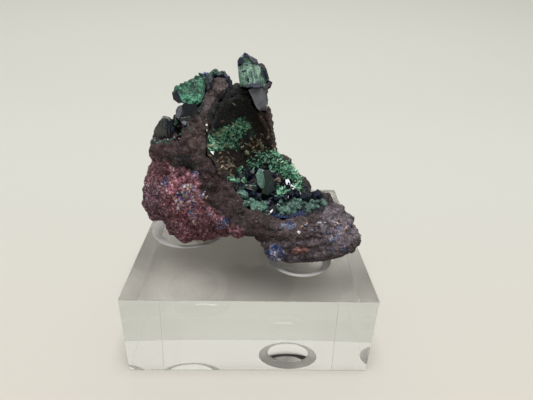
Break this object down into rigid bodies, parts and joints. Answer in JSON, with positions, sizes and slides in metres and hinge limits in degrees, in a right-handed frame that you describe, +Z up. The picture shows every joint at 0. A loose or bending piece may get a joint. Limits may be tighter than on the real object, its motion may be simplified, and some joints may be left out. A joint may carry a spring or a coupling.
{
  "type": "azurite specimen on a clear block",
  "caption": "Azurite and malachite specimen: a brown rock with a crystal-lined hollow and crystals on its rim, resting on a square clear acrylic block.",
  "frame": {"origin": "middle of the block's underside", "axes": "X right, Y to the back, Z up, as the picture shows it"},
  "size_m": [0.0508, 0.0508, 0.0611],
  "materials": {
    "clear_acrylic": "polished clear, colourless",
    "iron_stained_rock": "rough, maroon to brown, fine glints",
    "hollow_crust": "dark velvety crust with green and navy crystals",
    "malachite": "satin green coat with navy edges",
    "azurite": "glossy, nearly black blue"
  },
  "bodies": {
    "root": {"acrylic_block": "clear_acrylic", "matrix_rock": "iron_stained_rock", "vug_crust": "hollow_crust", "tower_crystal": "malachite", "malachite_wedge": "malachite", "crest_crystals": "malachite", "azurite_blades": "azurite", "dark_prism": "azurite"}
  },
  "joints": []
}
